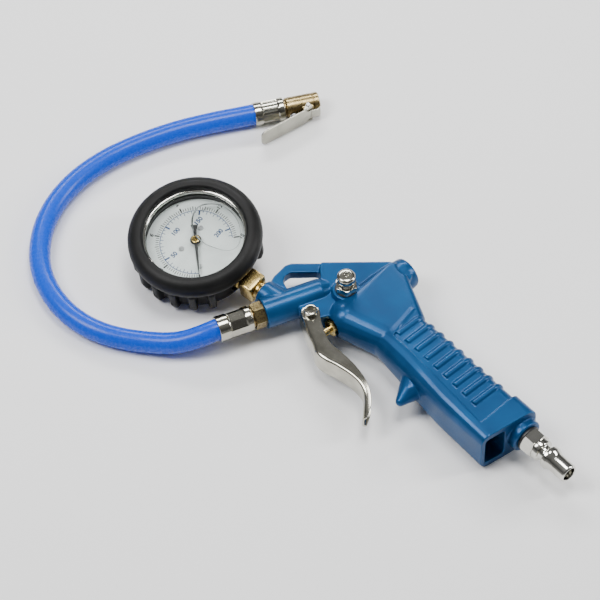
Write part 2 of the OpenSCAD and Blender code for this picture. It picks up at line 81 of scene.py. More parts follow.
mouthWay = Vector(mounts["tyre_valve"]["axis"]).normalized()
mouthMiddle = Vector(mounts["tyre_valve"]["pos_m"])
chuckPlace = place(mouthMiddle - mouthWay * 36 * mm, mouthWay, Vector((0, 0, 1)).cross(mouthWay))
chuckLine = chuckPlace @ spin(90, "Y")  # z runs along the chuck, to its mouth


# camera, lights and floor
studio = {
    "azimuth": -23.1,
    "elevation": 53.8,
    "distance": 3.0,  # metres from the aim point
    "lens": 302,
    "aim": (1.0, 18.6, 0),  # in the gun's own axes
    "floorColour": (0.92, 0.92, 0.92, 1),
    "air": 0.5,  # strength of the light from all round
}


def makeCamera():
    a, e = math.radians(studio["azimuth"]), math.radians(studio["elevation"])
    back = Vector((math.sin(a) * math.cos(e), -math.cos(a) * math.cos(e), math.sin(e)))
    data = bpy.data.cameras.new("camera")
    data.lens = studio["lens"]
    data.sensor_width = 36
    data.clip_start = 0.05
    camera = bpy.data.objects.new("camera", data)
    camera.location = gunPlace @ Vector(studio["aim"]) + back * studio["distance"]
    camera.rotation_mode = "QUATERNION"
    camera.rotation_quaternion = (-back).to_track_quat("-Z", "Y")
    bpy.context.scene.collection.objects.link(camera)
    bpy.context.scene.camera = camera


def addSoftbox(name, where, size, power, target=(0, 0.03, 0)):
    data = bpy.data.lights.new(name, "AREA")
    data.shape = "RECTANGLE"
    data.size, data.size_y = size
    data.energy = power
    lamp = bpy.data.objects.new(name, data)
    lamp.location = where
    lamp.rotation_euler = (Vector(target) - Vector(where)).to_track_quat("-Z", "Y").to_euler()
    bpy.context.scene.collection.objects.link(lamp)


def makeStudio():
    addSoftbox("keySoftbox", (-0.7, 0.2, 1.1), (0.45, 0.6), 13)
    addSoftbox("rearStrip", (0.25, 0.95, 0.75), (0.9, 0.2), 9)
    addSoftbox("sideStrip", (1.0, -0.25, 0.7), (0.2, 0.7), 8)
    addSoftbox("topSoftbox", (0.15, 0.1, 1.5), (0.5, 0.5), 14)
    world = bpy.data.worlds.new("studioAir")
    world.use_nodes = True
    nodes, links = world.node_tree.nodes, world.node_tree.links
    sky = nodes["Background"]
    where = nodes.new("ShaderNodeTexCoord")
    apart = nodes.new("ShaderNodeSeparateXYZ")
    ramp = nodes.new("ShaderNodeValToRGB")
    ramp.color_ramp.elements[0].position = 0.05
    ramp.color_ramp.elements[0].color = (0.75, 0.75, 0.76, 1)
    ramp.color_ramp.elements[1].position = 0.95
    ramp.color_ramp.elements[1].color = (0.5, 0.5, 0.5, 1)
    middle = ramp.color_ramp.elements.new(0.5)
    middle.color = (0.12, 0.12, 0.12, 1)
    links.new(where.outputs["Generated"], apart.inputs[0])
    links.new(apart.outputs["Z"], ramp.inputs["Fac"])
    links.new(ramp.outputs["Color"], sky.inputs["Color"])
    sky.inputs["Strength"].default_value = studio["air"]
    bpy.context.scene.world = world


def newMaterial(name):
    material = bpy.data.materials.new(name)
    material.use_nodes = True
    return material, material.node_tree.nodes, material.node_tree.links


def noiseAt(nodes, links, scale, detail=3, stretch=(1, 1, 1), roughness=0.5):
    where = nodes.new("ShaderNodeTexCoord")
    mapping = nodes.new("ShaderNodeMapping")
    mapping.inputs["Scale"].default_value = stretch
    noise = nodes.new("ShaderNodeTexNoise")
    noise.inputs["Scale"].default_value = scale
    noise.inputs["Detail"].default_value = detail
    noise.inputs["Roughness"].default_value = roughness
    links.new(where.outputs["Object"], mapping.inputs["Vector"])
    links.new(mapping.outputs["Vector"], noise.inputs["Vector"])
    return noise.outputs["Fac"]


def blendColours(nodes, links, factor, low, high, start=0.35, stop=0.65):
    ramp = nodes.new("ShaderNodeValToRGB")
    ramp.color_ramp.elements[0].position = start
    ramp.color_ramp.elements[1].position = stop
    ramp.color_ramp.elements[0].color = (*low, 1)
    ramp.color_ramp.elements[1].color = (*high, 1)
    links.new(factor, ramp.inputs["Fac"])
    return ramp.outputs["Color"]


def spread(nodes, links, factor, low, high):
    span = nodes.new("ShaderNodeMapRange")
    span.inputs["From Min"].default_value = 0.3
    span.inputs["From Max"].default_value = 0.7
    span.inputs["To Min"].default_value = low
    span.inputs["To Max"].default_value = high
    links.new(factor, span.inputs["Value"])
    return span.outputs["Result"]


def bumped(nodes, links, height, strength, distance):
    bump = nodes.new("ShaderNodeBump")
    bump.inputs["Strength"].default_value = strength
    bump.inputs["Distance"].default_value = distance
    links.new(height, bump.inputs["Height"])
    return bump.outputs["Normal"]


# one recipe for most finishes: two tones clouded together, uneven gloss and a fine relief
def finish(name, low, high, metallic=0.0, gloss=(0.3, 0.4), cloud=60, grain=900, relief=0.1,
           stretch=(1, 1, 1), coat=0.0, edgeHighlightAndWear=None, specular=0.5):
    material, nodes, links = newMaterial(name)
    shader = nodes["Principled BSDF"]
    shader.inputs["Metallic"].default_value = metallic
    shader.inputs["Coat Weight"].default_value = coat
    shader.inputs["Coat Roughness"].default_value = 0.12
    shader.inputs["Specular IOR Level"].default_value = specular
    clouds = noiseAt(nodes, links, cloud)
    colour = blendColours(nodes, links, clouds, low, high)
    if edgeHighlightAndWear:  # convex edges painted lighter: a painted highlight along the edges, on the brass also the bright metal of rubbed edges
        edge = nodes.new("ShaderNodeNewGeometry")
        band = nodes.new("ShaderNodeValToRGB")
        band.color_ramp.elements[0].position = 0.52
        band.color_ramp.elements[0].color = (0, 0, 0, 1)
        band.color_ramp.elements[1].position = 0.62
        band.color_ramp.elements[1].color = (1, 1, 1, 1)
        mix = nodes.new("ShaderNodeMix")
        mix.data_type = "RGBA"
        mix.inputs["B"].default_value = (*edgeHighlightAndWear, 1)
        links.new(edge.outputs["Pointiness"], band.inputs["Fac"])
        links.new(band.outputs["Color"], mix.inputs["Factor"])
        links.new(colour, mix.inputs["A"])
        colour = mix.outputs["Result"]
    links.new(colour, shader.inputs["Base Color"])
    fine = noiseAt(nodes, links, grain, 4, stretch)
    links.new(spread(nodes, links, fine, *gloss), shader.inputs["Roughness"])
    links.new(bumped(nodes, links, fine, relief, 0.0002), shader.inputs["Normal"])
    return material


def makeMaterials():
    # the edge colours given below paint a highlight along convex edges (on the brass also rubbed bright metal)
    made = {
        "bluePaint": finish("bluePaint", (0.001, 0.048, 0.150), (0.002, 0.063, 0.190), 0.4, (0.30, 0.42),
                            45, 1400, 0.06, coat=0.12, edgeHighlightAndWear=(0.01, 0.15, 0.34), specular=0.25),
        "nickel": finish("nickel", (0.40, 0.385, 0.325), (0.56, 0.545, 0.47), 1.0, (0.10, 0.20), 90, 1600, 0.04),
        "chrome": finish("chrome", (0.60, 0.59, 0.54), (0.74, 0.73, 0.68), 1.0, (0.06, 0.14), 90, 1800, 0.03),
        "platedSteel": finish("platedSteel", (0.36, 0.35, 0.30), (0.44, 0.43, 0.37), 1.0, (0.28, 0.42),
                              120, 900, 0.08, stretch=(1, 9, 1)),
        "steel": finish("steel", (0.45, 0.45, 0.46), (0.60, 0.60, 0.60), 1.0, (0.25, 0.38), 150, 1200, 0.08),
        "brass": finish("brass", (0.32, 0.21, 0.055), (0.54, 0.39, 0.14), 1.0, (0.18, 0.30), 45, 1100, 0.04,
                        edgeHighlightAndWear=(0.85, 0.66, 0.28)),
        "darkBrass": finish("darkBrass", (0.12, 0.085, 0.034), (0.26, 0.19, 0.085), 1.0, (0.22, 0.38), 110,
                            1000, 0.10, edgeHighlightAndWear=(0.55, 0.44, 0.22)),
        "bootRubber": finish("bootRubber", (0.0035, 0.0035, 0.0035), (0.007, 0.007, 0.007), 0.0, (0.42, 0.55),
                             70, 1500, 0.18, edgeHighlightAndWear=(0.010, 0.010, 0.010), specular=0.22),
        "sealRubber": finish("sealRubber", (0.008, 0.008, 0.008), (0.015, 0.015, 0.015), 0.0, (0.35, 0.5),
                             200, 2000, 0.1),
        "blackSteel": finish("blackSteel", (0.012, 0.012, 0.012), (0.02, 0.02, 0.02), 0.0, (0.3, 0.42),
                             150, 1500, 0.1),
        "dialEnamel": finish("dialEnamel", (0.72, 0.75, 0.74), (0.82, 0.84, 0.83), 0.0, (0.3, 0.4), 90,
                             1500, 0.02),
        "dialBlack": finish("dialBlack", (0.003, 0.003, 0.003), (0.007, 0.007, 0.007), 0.0, (0.5, 0.6), 300,
                            900, 0.02),
        "dialBlue": finish("dialBlue", (0.006, 0.035, 0.13), (0.012, 0.055, 0.19), 0.0, (0.5, 0.6), 300, 900, 0.02),
        "needleBlack": finish("needleBlack", (0.006, 0.006, 0.006), (0.014, 0.014, 0.014), 0.0, (0.4, 0.5),
                              300, 900, 0.03),
    }
    made["hoseBlue"] = hoseMaterial()
    made["clearLens"] = lensMaterial()
    made["bubbleEdge"] = bubbleMaterial()
    return made


# the hose shows its braid under a glossy skin, so its pattern follows the hose and not the room
def hoseMaterial():
    material, nodes, links = newMaterial("hoseBlue")
    shader = nodes["Principled BSDF"]
    uv = nodes.new("ShaderNodeUVMap")
    uv.uv_map = "along"
    strands = []
    for turn in (45, -45):
        mapping = nodes.new("ShaderNodeMapping")
        mapping.inputs["Rotation"].default_value = (0, 0, math.radians(turn))
        wave = nodes.new("ShaderNodeTexWave")
        wave.inputs["Scale"].default_value = 0.42
        wave.inputs["Distortion"].default_value = 0.1
        wave.inputs["Detail"].default_value = 0
        links.new(uv.outputs["UV"], mapping.inputs["Vector"])
        links.new(mapping.outputs["Vector"], wave.inputs["Vector"])
        strands.append(wave.outputs["Fac"])
    cross = nodes.new("ShaderNodeMath")
    cross.operation = "MAXIMUM"
    links.new(strands[0], cross.inputs[0])
    links.new(strands[1], cross.inputs[1])
    colour = blendColours(nodes, links, cross.outputs[0], (0.001, 0.055, 0.50), (0.002, 0.070, 0.60), 0.1, 0.95)
    links.new(colour, shader.inputs["Base Color"])
    links.new(spread(nodes, links, noiseAt(nodes, links, 500), 0.2, 0.34), shader.inputs["Roughness"])
    links.new(bumped(nodes, links, cross.outputs[0], 0.05, 0.0002), shader.inputs["Normal"])
    shader.inputs["Specular IOR Level"].default_value = 0.22
    shader.inputs["Coat Weight"].default_value = 0.06
    shader.inputs["Coat Roughness"].default_value = 0.2
    return material


def lensMaterial():
    material, nodes, links = newMaterial("clearLens")
    nodes.remove(nodes["Principled BSDF"])
    clear = nodes.new("ShaderNodeBsdfTransparent")
    clear.inputs["Color"].default_value = (0.97, 0.985, 0.98, 1)
    shine = nodes.new("ShaderNodeBsdfGlossy")
    shine.inputs["Roughness"].default_value = 0.03
    facing = nodes.new("ShaderNodeLayerWeight")  # both faces shine alike, more towards the edge
    facing.inputs["Blend"].default_value = 0.5
    steep = nodes.new("ShaderNodeMath")
    steep.operation = "POWER"
    steep.inputs[1].default_value = 4
    much = nodes.new("ShaderNodeMath")
    much.operation = "MULTIPLY_ADD"
    much.inputs[2].default_value = 0.03
    smudge = spread(nodes, links, noiseAt(nodes, links, 140, 2), 0.7, 0.9)
    mix = nodes.new("ShaderNodeMixShader")
    links.new(facing.outputs["Facing"], steep.inputs[0])
    links.new(steep.outputs[0], much.inputs[0])
    links.new(smudge, much.inputs[1])
    links.new(much.outputs[0], mix.inputs["Fac"])
    links.new(clear.outputs[0], mix.inputs[1])
    links.new(shine.outputs[0], mix.inputs[2])
    links.new(mix.outputs[0], nodes["Material Output"].inputs["Surface"])
    return material


def bubbleMaterial():
    material, nodes, links = newMaterial("bubbleEdge")
    shader = nodes["Principled BSDF"]
    tone = noiseAt(nodes, links, 160, 2)
    links.new(blendColours(nodes, links, tone, (0.02, 0.022, 0.024), (0.30, 0.32, 0.32)), shader.inputs["Base Color"])
    shader.inputs["Roughness"].default_value = 0.08
    return material


# the mesh tools below work in millimetres
def turned(profile, steps=72, ring=False):
    bm = bmesh.new()
    rows = []
    for radius, height in profile:
        if radius < 1e-6:
            rows.append([bm.verts.new((0, 0, height))])
            continue
        turns = [2 * math.pi * k / steps for k in range(steps)]
        rows.append([bm.verts.new((radius * math.cos(a), radius * math.sin(a), height)) for a in turns])
    pairs = list(zip(rows, rows[1:])) + ([(rows[-1], rows[0])] if ring else [])
    for low, high in pairs:
        for k in range(steps):
            n = (k + 1) % steps
            corners = [low[k % len(low)], low[n % len(low)], high[n % len(high)], high[k % len(high)]]
            corners = list(dict.fromkeys(corners))
            if len(corners) > 2:
                bm.faces.new(corners)
    bmesh.ops.recalc_face_normals(bm, faces=bm.faces)
    return bm


def slab(outline, z0, z1):
    bm = bmesh.new()
    low = [bm.verts.new((p[0], p[1], z0)) for p in outline]
    high = [bm.verts.new((p[0], p[1], z1)) for p in outline]
    bm.faces.new(low)
    bm.faces.new(high)
    for k in range(len(low)):
        n = (k + 1) % len(low)
        bm.faces.new((low[k], low[n], high[n], high[k]))
    bmesh.ops.recalc_face_normals(bm, faces=bm.faces)
    return bm


def lofted(rings):
    bm = bmesh.new()
    rows = [[bm.verts.new(p) for p in ring] for ring in rings]
    count = len(rows[0])
    for low, high in zip(rows, rows[1:]):
        for k in range(count):
            n = (k + 1) % count
            bm.faces.new((low[k], low[n], high[n], high[k]))
    bm.faces.new(rows[0])
    bm.faces.new(rows[-1])
    bmesh.ops.recalc_face_normals(bm, faces=bm.faces)
    return bm


def block(low, high):
    outline = [(low[0], low[1]), (high[0], low[1]), (high[0], high[1]), (low[0], high[1])]
    return slab(outline, low[2], high[2])


def ballHull(balls, steps=10):
    bm = bmesh.new()
    for x, y, z, radius in balls:
        for i in range(steps + 1):
            lean = math.pi * i / steps
            for k in range(2 * steps if 0 < i < steps else 1):
                turn = math.pi * k / steps
                out = (math.sin(lean) * math.cos(turn), math.sin(lean) * math.sin(turn), math.cos(lean))
                bm.verts.new((x + radius * out[0], y + radius * out[1], z + radius * out[2]))
    made = bmesh.ops.convex_hull(bm, input=list(bm.verts))
    inner = {v for v in made["geom_interior"] + made["geom_unused"] if isinstance(v, bmesh.types.BMVert)}
    bmesh.ops.delete(bm, geom=list(inner), context="VERTS")
    bmesh.ops.recalc_face_normals(bm, faces=bm.faces)
    return bm


# corners given as (x, y) or (x, y, radius)
def roundCorners(points, radius, steps=5):
    out = []
    for i, corner in enumerate(points):
        here = Vector(corner[:2])
        back = Vector(points[i - 1][:2]) - here
        ahead = Vector(points[(i + 1) % len(points)][:2]) - here
        reach = min(back.length, ahead.length) * 0.48
        back.normalize()
        ahead.normalize()
        half = math.acos(max(-1, min(1, back.dot(ahead)))) / 2
        wanted = corner[2] if len(corner) > 2 else radius
        if half > 1.55 or wanted <= 0:
            out.append(tuple(here))
            continue
        cut = min(wanted / math.tan(half), reach)
        size = cut * math.tan(half)
        centre = here + (back + ahead).normalized() * (size / math.sin(half))
        first, last = here + back * cut - centre, here + ahead * cut - centre
        for k in range(steps + 1):
            out.append(tuple(centre + first.lerp(last, k / steps).normalized() * size))
    return out


# points on a smooth line through the given ones, evenly spread
def smoothLine(points, count):
    points = [Vector(p) for p in points]
    fine = []
    for i in range(len(points) - 1):
        a, b = points[max(i - 1, 0)], points[i]
        c, d = points[i + 1], points[min(i + 2, len(points) - 1)]
        for k in range(24):
            t = k / 24
            fine.append(0.5 * (2 * b + (c - a) * t + (2 * a - 5 * b + 4 * c - d) * t * t
                               + (3 * b - a - 3 * c + d) * t ** 3))
    fine.append(points[-1])
    run = [0]
    for a, b in zip(fine, fine[1:]):
        run.append(run[-1] + (b - a).length)
    out, i = [], 0
    for k in range(count):
        want = run[-1] * k / (count - 1)
        while i < len(run) - 2 and run[i + 1] < want:
            i += 1
        part = (want - run[i]) / max(run[i + 1] - run[i], 1e-9)
        out.append(fine[i].lerp(fine[i + 1], min(part, 1)))
    return out


def between(table, at):
    # value row at a place along a table of (place, values...), smoothly eased from row to row
    rows = sorted(table)
    if at <= rows[0][0]:
        return rows[0][1:]
    for low, high in zip(rows, rows[1:]):
        if at <= high[0]:
            t = (at - low[0]) / (high[0] - low[0])
            return tuple(a + (b - a) * t for a, b in zip(low[1:], high[1:]))
    return rows[-1][1:]


def moved(bm, matrix):
    bmesh.ops.transform(bm, matrix=matrix, verts=bm.verts)
    return bm


def softened(bm, width, segments=3, sharpest=30):
    limit = math.radians(sharpest)
    edges = [e for e in bm.edges if len(e.link_faces) == 2 and e.calc_face_angle(0) > limit]
    bmesh.ops.bevel(bm, geom=edges, offset=width, segments=segments, profile=0.5, affect="EDGES",
                    clamp_overlap=True)
    return bm


def asObject(bm, name="work"):
    mesh = bpy.data.meshes.new(name)
    bm.to_mesh(mesh)
    bm.free()
    obj = bpy.data.objects.new(name, mesh)
    bpy.context.scene.collection.objects.link(obj)
    return obj


def settle(obj):
    graph = bpy.context.evaluated_depsgraph_get()
    mesh = bpy.data.meshes.new_from_object(obj.evaluated_get(graph))
    obj.modifiers.clear()
    obj.data = mesh
    return obj


def combine(obj, others, how="UNION"):
    for other in others:
        tool = obj.modifiers.new("combine", "BOOLEAN")
        tool.operation = how
        tool.solver = "MANIFOLD"
        tool.object = other
        settle(obj)
        bpy.data.objects.remove(other)
    return obj


# closed shapes melted into one casting with rounded corners
def melt(obj, voxel, passes, keep=1.0):
    skin = obj.modifiers.new("skin", "REMESH")
    skin.mode = "VOXEL"
    skin.voxel_size = voxel
    ease = obj.modifiers.new("ease", "SMOOTH")
    ease.factor = 0.5
    ease.iterations = passes
    if keep < 1:
        fewer = obj.modifiers.new("fewer", "DECIMATE")
        fewer.ratio = keep
    return settle(obj)


def dress(obj, name, where, body, material, instead=(), sharp=32):
    obj.name = name
    obj.data.name = name
    obj.data.transform(where)
    obj.data.shade_smooth()
    obj.data.set_sharp_from_angle(angle=math.radians(sharp))
    obj.data.materials.clear()
    obj.data.materials.append(material)
    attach(obj, body)
    if instead:
        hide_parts(*instead)
    return obj


hoseShape = {
    "radius": 6.5,
    "sides": 40,
    "spacing": 1.2,  # between rings
    # from inside the gun's ferrule to inside the chuck's, on the surface it lies on, in mm from the gun's datum
    "route": [
        (-33, 18, 16.5), (-43, 18, 16.5), (-53, 18, 16.4), (-61, 18.4, 15), (-68, 19.8, 12.8),
        (-75, 22.2, 10.5), (-83, 26.3, 8.4), (-93, 32.7, 7), (-103, 39.5, 6.5), (-112.5, 47.5, 6.5),
        (-121, 58, 6.5), (-127.5, 71, 6.5), (-131, 86, 6.5), (-131, 103, 6.5), (-126.5, 119.5, 6.5),
        (-118, 135, 6.5), (-107, 147.5, 6.5), (-94.5, 157, 6.5), (-80, 164.3, 6.5), (-64, 169.3, 6.5),
        (-47, 172, 6.5), (-29, 173, 6.6), (-11, 172.4, 6.8), (7, 170.2, 7.1), (21, 167.9, 7.2),
        (33, 166, 7.2), (41, 164.7, 7.2), (49, 163.5, 7.2)],
}


def sweptTube(line, radius, sides):
    bm = bmesh.new()
    layer = bm.loops.layers.uv.new("along")
    rows, run = [], [0]
    for i, p in enumerate(line):
        way = (line[min(i + 1, len(line) - 1)] - line[max(i - 1, 0)]).normalized()
        side = Vector((0, 0, 1)).cross(way).normalized()
        up = way.cross(side)
        turns = [2 * math.pi * k / sides for k in range(sides)]
        rows.append([bm.verts.new(p + radius * (math.cos(a) * side + math.sin(a) * up)) for a in turns])
        if i:
            run.append(run[-1] + (p - line[i - 1]).length)
    round_ = 2 * math.pi * radius
    for i in range(len(rows) - 1):
        for k in range(sides):
            n = (k + 1) % sides
            face = bm.faces.new((rows[i][k], rows[i][n], rows[i + 1][n], rows[i + 1][k]))
            spots = ((run[i], k), (run[i], k + 1), (run[i + 1], k + 1), (run[i + 1], k))
            for loop, (along, turn) in zip(face.loops, spots):
                loop[layer].uv = (along, round_ * turn / sides)
    bm.faces.new(rows[0])
    bm.faces.new(rows[-1])
    bmesh.ops.recalc_face_normals(bm, faces=bm.faces)
    return bm, run[-1]


def makeHose():
    datum = Vector((gunPlace.translation.x, gunPlace.translation.y, 0)) / mm
    route = [Vector(p) + datum for p in hoseShape["route"]]
    rough = sum((b - a).length for a, b in zip(route, route[1:]))
    line = smoothLine(route, int(rough / hoseShape["spacing"]))
    bm, length = sweptTube(line, hoseShape["radius"] - 0.02, hoseShape["sides"])
    hose = dress(asObject(bm), "blueHose", Matrix.Scale(mm, 4), "gun", looks["hoseBlue"], ["hose"])
    print("hose made, mm:", round(length))


# crimped on at both ends of the hose
ferruleShape = {
    "gun": {"radius": 7.85, "start": -52.9, "stop": -31.5, "flats": 8, "from": 0.30, "to": 0.86, "depth": 0.95},
    "chuck": {"radius": 7.2, "start": 0, "stop": 18.8, "flats": 6, "from": 0.22, "to": 0.84, "depth": 0.9},
    "bore": 6.6,
    "rows": 60,
    "steps": 160,
}


# pressed flats around the middle, the ends left round
def crimpedSleeve(shape):
    bm = bmesh.new()
    rows = []
    length = shape["stop"] - shape["start"]
    edge, drop = 0.5, 0.45  # how the sleeve's ends are rounded
    quarter = [math.pi / 2 * k / 4 for k in range(1, 5)]
    spots = [(0, -drop)] + [(edge * (1 - math.cos(a)), -drop * (1 - math.sin(a))) for a in quarter]
    outer = spots + [(edge + (length - 2 * edge) * k / ferruleShape["rows"], 0)
                     for k in range(1, ferruleShape["rows"])]
    outer += [(length - s, r) for s, r in reversed(spots)]
    pitch = 2 * math.pi / shape["flats"]
    for s, lift in outer:
        t = s / length
        ease = 1.6 / length
        inside = min(max((t - shape["from"]) / ease, 0), 1) * min(max((shape["to"] - t) / ease, 0), 1)
        inside = inside * inside * (3 - 2 * inside)
        row = []
        for k in range(ferruleShape["steps"]):
            a = 2 * math.pi * k / ferruleShape["steps"]
            off = (a + pitch / 2) % pitch - pitch / 2
            flat = (shape["radius"] - shape["depth"]) / math.cos(off)
            deep = min(shape["radius"], flat)
            radius = shape["radius"] + (deep - shape["radius"]) * inside + lift
            row.append(bm.verts.new((radius * math.cos(a), radius * math.sin(a), shape["start"] + s)))
        rows.append(row)
    bore = ferruleShape["bore"]
    for height in (shape["stop"], shape["start"]):
        turns = [2 * math.pi * k / ferruleShape["steps"] for k in range(ferruleShape["steps"])]
        rows.append([bm.verts.new((bore * math.cos(a), bore * math.sin(a), height)) for a in turns])
    for low, high in list(zip(rows, rows[1:])) + [(rows[-1], rows[0])]:
        for k in range(ferruleShape["steps"]):
            n = (k + 1) % ferruleShape["steps"]
            bm.faces.new((low[k], low[n], high[n], high[k]))
    bmesh.ops.recalc_face_normals(bm, faces=bm.faces)
    return bm


def makeFerrules():
    atGun = dress(asObject(crimpedSleeve(ferruleShape["gun"])), "gunFerrule", barrelPlace, "gun",
                  looks["nickel"], ["gun_ferrule"], 24)
    atChuck = dress(asObject(crimpedSleeve(ferruleShape["chuck"])), "chuckFerrule", chuckLine, "gun",
                    looks["nickel"], ["chuck_ferrule"], 24)
    return atGun, atChuck


chuckShape = {
    "radius": 6.4,
    "mouth": 4.15,
    "slotHalf": 2.5,
    "length": 41,
}


def makeChuckBody():
    r, mouth, end = chuckShape["radius"], chuckShape["mouth"], chuckShape["length"]
    profile = [(2.2, 16.2), (r, 16.2), (r, 18.9), (5.6, 19.1), (5.6, 19.9), (6.0, 20.2), (r, 20.7),
               (r, end - 4.2), (r - 0.25, end - 4), (r - 0.25, end - 3.6), (r, end - 3.4), (r, end - 0.5),
               (r - 0.5, end), (mouth + 0.4, end), (mouth, end - 0.4), (mouth, 31), (4.9, 31), (4.9, 28),
               (4, 28), (4, 26.5), (2.2, 26.5)]
    body = asObject(moved(turned(profile, 96, ring=True), spin(90, "Y")))
    lug = asObject(softened(block((29.5, -6.9, -4.9), (36.5, -4.6, 4.9)), 0.4, 2))
    slotHalf = chuckShape["slotHalf"]
    slot = asObject(slab([(27.5, -9), (42, -9), (42, -3.2), (31.5, -3.2)], -slotHalf, slotHalf))
    combine(body, [lug])
    pinHole = asObject(moved(turned([(0, -10), (1.28, -10), (1.28, 10), (0, 10)], 24), shift(33, -5.5, 0)))
    combine(body, [slot, pinHole], "DIFFERENCE")
    return dress(body, "chuckBody", chuckPlace, "gun", looks["darkBrass"], ["chuck_body"])


leverShape = {
    "half": 6.25,
    "thick": 1.1,
    "tailRadius": 3.2,
    "slope": 19.6,  # degrees from the chuck's line
    "front": 38.4,
}


# flat thumb plate with a rounded tail, cheeks round the pin and a jaw that reaches into the mouth
def makeChuckLever():
    h, t = leverShape["half"], leverShape["thick"]
    front = leverShape["front"]
    outline = [(0, -h, leverShape["tailRadius"]), (front - 6.5, -h, 0.8), (front - 4, -h + 2.6, 1.2),
               (front, -h + 2.6, 0.6), (front, h - 2.6, 0.6), (front - 4, h - 2.6, 1.2), (front - 6.5, h, 0.8),
               (0, h, leverShape["tailRadius"])]
    plate = softened(slab(roundCorners(outline, 1, 8), 0, t), 0.25, 2, 50)
    moved(plate, shift(0.3, -20.6, 0) @ spin(leverShape["slope"], "Z") @ spin(-90, "X"))
    lever = asObject(plate)
    cheek = [(28.2, -10.4), (31.4, -5.8), (31.8, -4.6), (33, -4.0), (34.2, -4.6), (35.8, -7.6)]
    sides = [asObject(softened(slab(roundCorners(cheek, 1), z, z + 1), 0.2, 2, 50)) for z in (-6.25, 5.25)]
    jaw = asObject(softened(slab([(38.9, -8.4), (40.2, -8.4), (40.2, -4.3), (38.9, -4.3)], -2.3, 2.3), 0.15, 1))
    nose = asObject(softened(slab([(34.6, -8.7), (40.2, -8.4), (40.2, -7.4), (34.6, -7.9)], -3.4, 3.4), 0.2, 2))
    combine(lever, sides + [nose, jaw])
    pinHole = asObject(moved(turned([(0, -10), (1.26, -10), (1.26, 10), (0, 10)], 24), shift(33, -5.5, 0)))
    combine(lever, [pinHole], "DIFFERENCE")
    return dress(lever, "thumbLever", chuckPlace, "thumb_lever", looks["platedSteel"],
                 ["chuck_lever"])


gunShape = {
    "barrel": 9.5,
    "muzzle": -23,
    "webHalf": 7.9,
    "loopHalf": 3.3,
    "ribs": 9,
    "firstRib": -46,
    "ribPitch": 8.4,
    "ribRadius": 2.15,
    "recess": 1.8,
    "voxel": 0.45,
    "easing": 4,
    "keep": 0.45,
}

# down the grip: place, front line, back line, half thickness, corner radius at the front and the back
gripTable = [
    (-12, 20, 55, 9.5, 9, 3), (-24, 16.5, 54, 10.6, 10, 4), (-34, 15.6, 51.4, 11.8, 11, 5),
    (-46, 14.6, 50, 13.6, 12.5, 6.5), (-60, 13.6, 50, 14.9, 12.5, 7), (-75, 12.4, 50, 15.5, 11, 7.5),
    (-98, 10.9, 50, 15.5, 8.5, 7.5), (-141, 10.5, 50, 15.5, 6, 7)]


def gripRing(at, inset=0.0, steps=7):
    front, back, half, nearCorner, farCorner = between(gripTable, at)
    back, half = back - inset, half - inset
    near, far = max(nearCorner - inset * 0.5, 1), max(farCorner - inset * 0.5, 1)
    ring = roundCorners([(front, -half, near), (back, -half, far), (back, half, far), (front, half, near)], 1, steps)
    return [(x, at, z) for x, z in ring]


def gripLoft(top, bottom, inset=0.0):
    count = 40
    return lofted([gripRing(top + (bottom - top) * k / count, inset) for k in range(count + 1)])


# a round bar bent round the back of the grip
def ribBar(at):
    inset = gunShape["recess"] + 0.5
    _, back, half, _, farCorner = between(gripTable, at)
    half, back, corner = half - inset, back - 0.6 - gunShape["ribRadius"], farCorner - inset * 0.6
    start = 27.5 + (gunShape["firstRib"] - at) * -0.03
    bend = roundCorners([(start, -half, 0), (back, -half), (back, half), (start, half, 0)], corner, 8)
    bar = bmesh.new()
    rows = []
    for i, (x, z) in enumerate(bend):
        here = Vector((x, at, z))
        a, b = bend[max(i - 1, 0)], bend[min(i + 1, len(bend) - 1)]
        way = Vector((b[0] - a[0], 0, b[1] - a[1])).normalized()
        side = way.cross(Vector((0, 1, 0)))
        turns = [2 * math.pi * k / 14 for k in range(14)]
        r = gunShape["ribRadius"]
        rows.append([bar.verts.new(here + r * (math.cos(t) * side + Vector((0, math.sin(t), 0)))) for t in turns])
    for low, high in zip(rows, rows[1:]):
        for k in range(14):
            n = (k + 1) % 14
            bar.faces.new((low[k], low[n], high[n], high[k]))
    bar.faces.new(rows[0])
    bar.faces.new(rows[-1])
    bmesh.ops.recalc_face_normals(bar, faces=bar.faces)
    return bar


def gripSolid():
    grip = asObject(gripLoft(-12, -141.2))
    # the lower end is cut a little higher at the front
    combine(grip, [asObject(slab([(5, -135.5), (50, -141.4), (50, -146), (5, -146)], -20, 20))], "DIFFERENCE")
    # the ribbed panel lies a little lower and wraps round the back
    panel = [(24.7, -45.2), (51, -38.2), (56, -40), (56, -125), (18.8, -126.4)]
    combine(grip, [asObject(slab(panel, -20, 20))], "DIFFERENCE")
    combine(grip, [asObject(gripLoft(-30, -135, gunShape["recess"]))])
    ribs = [asObject(ribBar(gunShape["firstRib"] - gunShape["ribPitch"] * i)) for i in range(gunShape["ribs"])]
    combine(grip, ribs)
    spur = ballHull([(22, -68, 0, 8), (22, -78, 0, 7), (10, -74.4, 1, 5.2), (10, -74.4, -1, 5.2),
                     (1.4, -76.8, 0, 2.9)], 12)
    boss = moved(turned([(0, 110), (10.4, 110), (10.4, 144.3), (9.8, 145), (0, 145)]),
                 shift(39.5, 0, 0) @ spin(90, "X"))
    return combine(grip, [asObject(spur), asObject(boss)])


